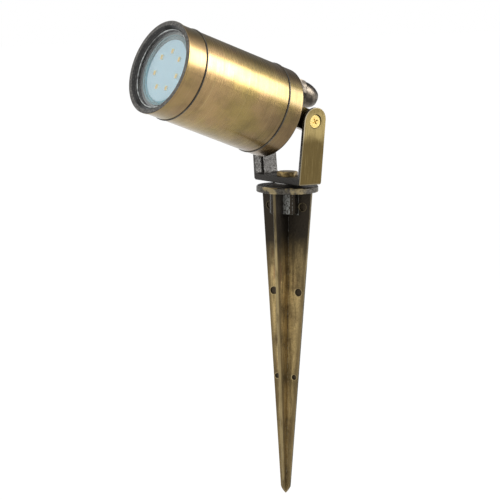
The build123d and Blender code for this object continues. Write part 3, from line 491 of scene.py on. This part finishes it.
def spike_brass():
    """Cast brass: blackened under the flange, rubbed and brighter on the blades with painted light, and
    bright at their edges from wear and a painted highlight.
    """
    p = Paint("cast_brass")
    place = p.place()
    z = p.split(place)[2]
    bx, by = p.split(to_blades(p, place))[:2]
    across = p.math("ABSOLUTE", bx)
    along = p.math("ABSOLUTE", by)
    reach = p.math("MAXIMUM", across, along)
    full = p.ramp(z, BLADE_LOW, 0.0, BLADE_END_R, BLADE_TOP_R)
    from_edge = p.math("SUBTRACT", full, reach)
    skin = cast_skin(p, place, 1.1 * MM)
    drift = p.noise(place, 45.0, 4.0, 0.6)
    fade = p.math("ADD", z, p.math("MULTIPLY", p.math("SUBTRACT", drift, 0.5), FADE_DRIFT))
    blackened = p.step(fade, *BLACK_FADE)
    nx, ny, nz = p.split(to_blades(p, p.facing()))

    colour = p.mix(p.step(drift, 0.30, 0.55), CAST_PATINA, CAST_BRASS)
    colour = p.times(colour, p.ramp(skin, 0.36, 0.64, 0.84, 1.18))
    runs = p.noise(p.join(bx, by, p.math("MULTIPLY", z, 0.10)), 300.0, 4.0, 0.6)
    colour = p.times(colour, p.step(runs, 0.36, 0.60, 0.56, 1.20))
    rust = p.noise(p.join(bx, by, p.math("MULTIPLY", z, 0.14)), 190.0, 4.0, 0.65)
    colour = p.mix(p.step(rust, 0.56, 0.68, 0.0, 0.55), colour, CAST_RUST)
    shade = p.step(from_edge, *SHADE_DEPTH)
    colour = p.mix(p.math("MULTIPLY", shade, 0.75), colour, CAST_PATINA)
    # painted light: a brighter band of the blades, on top of their rubbed brass
    glow = p.product(p.band(z, *RUB_AND_LIGHT_HEIGHTS, 16 * MM), p.band(reach, *RUB_AND_LIGHT_REACH, 2.5 * MM))
    colour = p.times(colour, p.step(glow, 0.0, 1.0, 1.0, 1.30))
    # darker root: patina with painted shade
    root = p.step(reach, *ROOT_REACH)
    colour = p.mix(p.math("MULTIPLY", root, 0.25), colour, CAST_PATINA)
    colour = p.mix(blackened, colour, CAST_BLACK)
    streak = p.noise(p.join(bx, by, p.math("MULTIPLY", z, 0.25)), 260.0, 3.0, 0.6)
    aside = p.math("MINIMUM", across, along)
    # painted highlight on the blades' edges, over their wear
    strip = p.product(p.step(from_edge, *STRIP_DEPTH), p.step(from_edge, *STRIP_OUTSIDE),
                      p.step(streak, 0.34, 0.56, 0.25, 1.0), p.step(aside, *STRIP_ASIDE, 0.25, 1.0),
                      p.step(z, *STRIP_LOWER, 0.45, 0.80), p.step(z, *STRIP_UPPER, 0.35, 1.0))
    colour = p.mix(strip, colour, CAST_EDGE_WEAR_AND_HIGHLIGHT)
    dark_end = p.product(p.step(nx, 0.80, 0.95), p.step(bx, *DARK_END_REACH),
                         p.step(z, *DARK_END_HEIGHTS, 0.0, 0.8))
    colour = p.mix(dark_end, colour, CAST_BLACK)
    # painted reflection: a thin grey line along the corners between blades
    corner = p.step(p.math("ABSOLUTE", p.math("SUBTRACT", across, along)), *CORNER_GLINT_WIDTH)
    colour = p.mix(p.math("MULTIPLY", corner, p.step(skin, 0.48, 0.62, 0.0, 0.75)), colour, CAST_GREY)
    inside, rim = pin_marks(p, bx, by, z)
    rim = p.math("MULTIPLY", rim, p.step(blackened, 0.0, 1.0, 0.8, 0.18))
    colour = p.mix(rim, colour, CAST_BRIGHT)
    # floors of the pin marks: patina and painted shade
    colour = p.mix(inside, colour, MARK_FLOOR_PATINA_AND_SHADE)

    # painted light: part of the boss's front is pale as a lit facet
    lit_facet = p.product(p.step(reach, BOSS_R + 0.3 * MM, BOSS_R), p.step(z, BOSS_LOW, BOSS_LOW + 0.6 * MM),
                          p.step(ny, -0.90, -0.97), p.step(bx, *LIT_FACET_FROM), p.step(skin, 0.36, 0.56))
    colour = p.mix(lit_facet, colour, CAST_GREY)

    flange = p.step(z, FLANGE_LOW, 0.0)
    rub = p.noise(place, 130.0, 3.0, 0.55)
    iron = p.mix(p.step(skin, 0.35, 0.62), FLANGE_DARK, FLANGE_LIGHT)
    bevel = p.band(p.math("ABSOLUTE", nz), 0.35, 0.95, 0.05)
    rubbed = p.math("MULTIPLY", p.step(rub, 0.52, 0.66), p.step(bevel, 0.0, 1.0, 0.45, 1.0))
    side = p.step(nz, 0.98, 0.90)
    iron = p.mix(p.math("MULTIPLY", rubbed, side), iron, CAST_BRIGHT)
    colour = p.mix(flange, colour, iron)
    roughness = p.step(skin, 0.3, 0.7, 0.46, 0.30)
    height = p.math("MULTIPLY", skin, p.step(strip, 0.0, 1.0, 1.0, 0.3))
    return p.finish(Base_Color=colour, Roughness=roughness, Metallic=0.92, Normal=p.bump(height, 0.34 * MM))


BRACKET_OLIVE = (0.128, 0.090, 0.032)
BRACKET_LIGHT = (0.400, 0.305, 0.125)
BRACKET_DARK = (0.034, 0.031, 0.028)
BRACKET_GREY = (0.165, 0.160, 0.152)
BRACKET_EDGE_WEAR_AND_HIGHLIGHT = (0.60, 0.52, 0.36)
EDGE_OLIVE = (0.300, 0.245, 0.140)
SEAT_DARK = (0.022, 0.018, 0.012)
SEAT_R = 5.0 * MM           # recess of a tilt screw's head
LIGHTER_TOP_LOW = (-17 * MM, -7 * MM)        # heights from the tilt line where the lighter top of the arms begins
LIGHTER_TOP_HIGH = (2 * MM, 9 * MM)          # and where it weakens


def bracket_brass():
    """Arms brushed lengthwise outside, cast and blackened inside, bright on their edges from wear and a
    painted highlight.
    """
    p = Paint("bracket_brass")
    place = p.place()
    x, y, z = p.split(place)
    outer = p.math("MULTIPLY", p.split(p.facing())[0], p.math("SIGN", x))
    brushed = p.step(outer, 0.80, 0.90)
    edge = p.band(outer, 0.52, 0.84, 0.06)
    stripes = p.noise(p.join(p.math("MULTIPLY", x, 300.0), p.math("MULTIPLY", y, 4000.0),
                             p.math("MULTIPLY", z, 30.0)), 1.0, 3.0, 0.6)
    cloud = p.noise(place, 120.0, 3.0, 0.5)
    skin = cast_skin(p, place, 0.8 * MM)
    height = p.math("ADD", z, p.math("MULTIPLY", p.math("SUBTRACT", cloud, 0.5), 12 * MM))
    # the arms are lighter towards the top
    polish = p.product(p.step(height, *(TILT_LINE.z + at for at in LIGHTER_TOP_LOW)),
                       p.step(height, *(TILT_LINE.z + at for at in LIGHTER_TOP_HIGH), 1.0, 0.55))
    olive = p.mix(polish, BRACKET_OLIVE, BRACKET_LIGHT)
    olive = p.mix(p.step(stripes, 0.45, 0.3), olive, tuple(0.7 * c for c in BRACKET_OLIVE))
    olive = p.mix(p.math("MULTIPLY", p.step(stripes, 0.55, 0.7), 0.5), olive, BRACKET_LIGHT)
    arms = p.step(z, BASE_TOP - 1.0 * MM, BASE_TOP + 3.0 * MM)
    grey = p.math("MULTIPLY", p.step(skin, 0.40, 0.62), p.step(arms, 0.0, 1.0, 0.22, 1.0))
    rough_cast = p.mix(grey, BRACKET_DARK, BRACKET_GREY)
    colour = p.mix(brushed, rough_cast, olive)
    # edges bright from wear and a painted highlight
    edge_wear_and_highlight = p.mix(polish, EDGE_OLIVE, BRACKET_EDGE_WEAR_AND_HIGHLIGHT)
    colour = p.mix(edge, colour, edge_wear_and_highlight)
    beside = p.join(0.0, y, p.math("SUBTRACT", z, TILT_LINE.z))
    seat = p.step(p.vector("LENGTH", beside), SEAT_R + 0.1 * MM, SEAT_R - 0.05 * MM)
    colour = p.mix(seat, colour, SEAT_DARK)
    relief = p.add("Mix", {"Factor": brushed, "A": skin, "B": stripes}, data_type="FLOAT").outputs[0]
    return p.finish(Base_Color=colour, Roughness=p.step(brushed, 0, 1, 0.48, 0.33), Metallic=0.95,
                    Normal=p.bump(relief, 0.06 * MM))


def screw_brass():
    return grained("yellow_brass", 1800.0, 3.0, (0.66, 0.48, 0.15), (0.80, 0.62, 0.25), (0.3, 0.42),
                   metallic=1.0)


def bolt_brass():
    p = Paint("bolt_brass", Metallic=1.0)
    cloud = p.noise(p.place(), 220.0, 3.0)
    colour = p.mix(p.step(cloud, 0.35, 0.65), (0.10, 0.07, 0.035), (0.42, 0.30, 0.12))
    return p.finish(Base_Color=colour, Roughness=0.32, Normal=p.bump(cloud, 0.05 * MM))


def dark_bronze():
    """Oxidised bronze of the cable gland, rubbed brighter here and there."""
    p = Paint("gland_bronze", Metallic=1.0)
    place = p.place()
    cloud = p.noise(place, 160.0, 4.0, 0.6)
    fine = p.noise(place, 1500.0, 3.0, 0.6)
    colour = p.mix(p.step(cloud, 0.4, 0.7), (0.043, 0.036, 0.029), (0.190, 0.160, 0.125))
    return p.finish(Base_Color=colour, Roughness=p.step(fine, 0.3, 0.7, 0.22, 0.4),
                    Normal=p.bump(fine, 0.04 * MM))


def fibre():
    return grained("fibre_washer", 1200.0, 4.0, (0.018, 0.014, 0.011), (0.05, 0.04, 0.03), 0.7,
                   relief=0.04 * MM)


def steel():
    return grained("zinc_steel", 1400.0, 4.0, (0.30, 0.29, 0.28), (0.55, 0.54, 0.52), (0.3, 0.45),
                   metallic=1.0)


def ceramic():
    return grained("holder_ceramic", 700.0, 3.0, (0.70, 0.67, 0.60), (0.80, 0.78, 0.72), 0.5)


def terminal_plastic():
    return grained("terminal_plastic", 900.0, 3.0, (0.62, 0.62, 0.60), (0.72, 0.72, 0.70), 0.5)


def dress(material, *names):
    """Put a material on CAD nodes."""
    for name in names:
        data = nodes[name].data
        data.materials.clear()
        data.materials.append(material)


dress(head_brass(), "rear_cap", "body_tube")
dress(bezel_brass(), "bezel")
dress(rubber(), "gland_ring", "gland_seal")
dress(seal_rubber(), "rear_seal", "front_seal")
dress(gasket_rubber(), "lens_gasket")
dress(clear("window_glass", WINDOW_TINT, 1.46, 90.0, 0.03), "lens")
dress(ring_metal(), "retaining_ring")
dress(lamp_plastic(), "lamp_shell")
dress(clear("clear_cover", COVER_TINT, 1.4, 120.0, 0.06), "lamp_cover")
dress(board_white(), "led_board")
dress(chip_package(), "led_chips")
dress(spike_brass(), "spike")
dress(bracket_brass(), "bracket")
dress(screw_brass(), "tilt_screws", "earth_screw")
dress(bolt_brass(), "swivel_bolt")
dress(dark_bronze(), "gland_body", "gland_nut")
dress(fibre(), "fibre_washer", "tilt_washers")
dress(steel(), "steel_washer", "lamp_pins", "holder_strap", "holder_screws", "strap_screws")
dress(ceramic(), "lampholder")
dress(terminal_plastic(), "terminal_block")


# ---- Small pieces on the head that are too fine for the CAD model ----

def add_piece(name, vertices, faces, material):
    """Mesh given in the head's own axes, riding on the head."""
    data = bpy.data.meshes.new(name)
    data.from_pydata([HEAD_TO_FRAME @ Vector(v) for v in vertices], [], faces)
    data.polygons.foreach_set("use_smooth", [True] * len(data.polygons))
    data.materials.append(material)
    piece = bpy.data.objects.new(name, data)
    bpy.context.scene.collection.objects.link(piece)
    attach(piece, "head")


GEL_MARGIN = 0.16 * MM      # cream case round the gel of a chip
GEL_RISE = 0.14 * MM
GEL_SIDES = 24
GEL_RINGS = ((1.0, 0.0), (0.96, 0.5), (0.85, 0.8), (0.6, 0.95), (0.3, 1.0))     # shares of width and rise


def chip_gel():
    """Low rounded pillow of phosphor gel on each chip."""
    vertices = []
    faces = []
    half_w, half_l = (side / 2 - GEL_MARGIN for side in CHIP_SIZE)
    for chip in range(CHIP_COUNT):
        turn = CHIP_START + 2 * math.pi * chip / CHIP_COUNT
        middle = Vector((CHIP_RING_R * math.cos(turn), CHIP_RING_R * math.sin(turn), CHIP_FACE))
        first = len(vertices)
        for share, rise in GEL_RINGS:
            for side in range(GEL_SIDES):
                angle = 2 * math.pi * side / GEL_SIDES
                c, s = math.cos(angle), math.sin(angle)
                square = 1 / (abs(c) ** 4 + abs(s) ** 4) ** 0.25
                vertices.append(middle + Vector((half_w * share * square * c, half_l * share * square * s,
                                                 GEL_RISE * rise)))
        for ring in range(len(GEL_RINGS) - 1):
            for side in range(GEL_SIDES):
                a = first + ring * GEL_SIDES + side
                b = first + ring * GEL_SIDES + (side + 1) % GEL_SIDES
                faces.append((a, b, b + GEL_SIDES, a + GEL_SIDES))
        top = first + (len(GEL_RINGS) - 1) * GEL_SIDES
        faces.append(tuple(range(top, top + GEL_SIDES)))
        faces.append(tuple(reversed(range(first, first + GEL_SIDES))))
    add_piece("chip_gel", vertices, faces, chip_yellow())


BEAD_R = 0.36 * MM
BEAD_STEPS = 180
BEAD_SIDES = 8


def window_bead():
    """Uneven bead of sealant in the corner between the window and the bezel."""
    vertices = []
    faces = []
    for step in range(BEAD_STEPS):
        turn = 2 * math.pi * step / BEAD_STEPS
        wobble = 1 + 0.16 * math.sin(7 * turn + 0.6) + 0.10 * math.sin(17 * turn)
        for side in range(BEAD_SIDES):
            angle = 2 * math.pi * side / BEAD_SIDES
            radius = WINDOW_EDGE_R - BEAD_R * (1 - wobble * math.cos(angle))
            height = WINDOW_FACE + BEAD_R * wobble * (0.2 + math.sin(angle))
            vertices.append((radius * math.cos(turn), radius * math.sin(turn), height))
    for step in range(BEAD_STEPS):
        for side in range(BEAD_SIDES):
            a = step * BEAD_SIDES + side
            b = step * BEAD_SIDES + (side + 1) % BEAD_SIDES
            after = ((step + 1) % BEAD_STEPS - step) * BEAD_SIDES
            faces.append((a, a + after, b + after, b))
    add_piece("window_bead", vertices, faces, sealant_and_glint())


chip_gel()
window_bead()


# ---- Camera ----

def make_camera():
    flat_right = Vector((math.cos(CAMERA_AZIMUTH), math.sin(CAMERA_AZIMUTH), 0))
    back = Vector((math.sin(CAMERA_AZIMUTH) * math.cos(CAMERA_ELEVATION),
                   -math.cos(CAMERA_AZIMUTH) * math.cos(CAMERA_ELEVATION),
                   math.sin(CAMERA_ELEVATION)))
    flat_up = back.cross(flat_right)
    right = flat_right * math.cos(CAMERA_ROLL) + flat_up * math.sin(CAMERA_ROLL)
    up = flat_up * math.cos(CAMERA_ROLL) - flat_right * math.sin(CAMERA_ROLL)
    aside = (FLANGE_PIXEL[0] - PHOTO_SIDE / 2) / CAMERA_FOCAL * CAMERA_DISTANCE
    above = (PHOTO_SIDE / 2 - FLANGE_PIXEL[1]) / CAMERA_FOCAL * CAMERA_DISTANCE
    data = bpy.data.cameras.new("camera")
    data.sensor_width = SENSOR
    data.lens = CAMERA_FOCAL / PHOTO_SIDE * SENSOR
    data.clip_start, data.clip_end = CAMERA_CLIP
    camera = bpy.data.objects.new("camera", data)
    bpy.context.scene.collection.objects.link(camera)
    camera.location = back * CAMERA_DISTANCE - right * aside - up * above
    camera.rotation_mode = "QUATERNION"
    camera.rotation_quaternion = Matrix((right, up, back)).transposed().to_quaternion()
    bpy.context.scene.camera = camera


# ---- Floor, background and lamps ----

FLOOR_SIDE = 12.0
FLOOR_SHADOW = 0.22         # share of the floor's colour that the lamps can shade
FLOOR_GLOW = 1.15           # makes the floor white where nothing shades it
ROOM_LIGHT = 0.62           # what the surroundings give to surfaces that don't mirror them
DARK_CORNER = (-0.52, 0.77, 0.38)       # the studio's unlit corner, which only gloss shows
DARK_CORNER_LEVEL = 0.22
DARK_CORNER_SPREAD = (0.80, 0.95)       # cosines from its middle where it begins and is darkest


def seen_rays(p):
    """1 for rays that show the background: from the camera, off gloss and through glass."""
    path = p.add("LightPath").outputs
    gloss = p.math("MAXIMUM", path["Is Glossy Ray"], path["Is Transmission Ray"])
    return p.math("MAXIMUM", path["Is Camera Ray"], gloss)


def make_floor():
    data = bpy.data.meshes.new("floor")
    half = FLOOR_SIDE / 2
    corners = [(x * half, y * half, FLOOR_Z) for x, y in ((-1, -1), (1, -1), (1, 1), (-1, 1))]
    data.from_pydata(corners, [], [(0, 1, 2, 3)])
    floor = bpy.data.objects.new("floor", data)
    bpy.context.scene.collection.objects.link(floor)
    p = Paint("pale_floor", Base_Color=(0.82, 0.82, 0.82, 1), Roughness=0.9, Specular_IOR_Level=0.0)
    glow = p.add("Emission", {"Color": WHITE, "Strength": FLOOR_GLOW})
    share = p.math("MULTIPLY", seen_rays(p), 1 - FLOOR_SHADOW)
    p.mix_shader(share, glow)
    data.materials.append(p.material)


def make_world():
    """White to the camera and in gloss, dimmer as a light, with one dark corner in the gloss."""
    world = bpy.data.worlds.new("studio")
    bpy.context.scene.world = world
    world.use_nodes = True
    tree = world.node_tree

    def node(kind, inputs, **settings):
        made = tree.nodes.new("ShaderNode" + kind)
        for key, value in settings.items():
            setattr(made, key, value)
        for key, value in inputs.items():
            if isinstance(value, bpy.types.NodeSocket):
                tree.links.new(value, made.inputs[key])
            else:
                made.inputs[key].default_value = value
        return made.outputs

    path = node("LightPath", {})
    direction = node("TexCoord", {})["Generated"]
    corner = Vector(DARK_CORNER).normalized()
    towards = node("VectorMath", {0: direction, 1: corner}, operation="DOT_PRODUCT")["Value"]
    begins, darkest = DARK_CORNER_SPREAD
    dimmed = {"Value": towards, "From Min": begins, "From Max": darkest,
              "To Min": 1.0, "To Max": DARK_CORNER_LEVEL}
    corner_light = node("MapRange", dimmed, interpolation_type="SMOOTHSTEP")[0]
    straight = {0: path["Is Camera Ray"], 1: path["Is Transmission Ray"]}
    clear_way = node("Math", straight, operation="MAXIMUM")[0]
    room = node("MapRange", {"Value": clear_way, "To Min": ROOM_LIGHT, "To Max": 1.0})[0]
    level = node("Mix", {0: path["Is Glossy Ray"], 2: room, 3: corner_light}, data_type="FLOAT")[0]
    tree.links.new(level, tree.nodes["Background"].inputs["Strength"])
    tree.nodes["Background"].inputs["Color"].default_value = WHITE


AIM = TILT_LINE + HEAD_AXIS * 60 * MM       # the lamps face the middle of the head
KEY_SIDE = (0.53, 0.765, 0.367)
KEY_UPRIGHT = (-0.55, 0.17, 0.49)
FILL_SIDE = (-0.2, -0.85, 0.5)


def softbox(name, towards, distance, width, height, radiance, upright=(0, 0, 1)):
    """Soft rectangular lamp that faces the head, on that side of it. radiance 1 is as bright as white."""
    away = Vector(towards).normalized()
    side = Vector(upright).cross(away).normalized()
    data = bpy.data.lights.new(name, "AREA")
    data.shape = "RECTANGLE"
    data.size = width
    data.size_y = height
    data.energy = radiance * math.pi * width * height
    lamp = bpy.data.objects.new(name, data)
    bpy.context.scene.collection.objects.link(lamp)
    lamp.location = AIM + away * distance
    lamp.rotation_mode = "QUATERNION"
    lamp.rotation_quaternion = Matrix((side, away.cross(side), away)).transposed().to_quaternion()
    return lamp


bpy.context.scene.view_settings.view_transform = "Standard"
make_camera()
make_floor()
make_world()
softbox("key", KEY_SIDE, distance=1.2, width=0.8, height=0.85, radiance=4.0, upright=KEY_UPRIGHT)
hot_middle = softbox("key_middle", KEY_SIDE, distance=1.18, width=0.45, height=0.62, radiance=5.0,
                     upright=KEY_UPRIGHT)
hot_middle.visible_diffuse = False
softbox("fill", FILL_SIDE, distance=1.4, width=0.9, height=0.9, radiance=1.05)
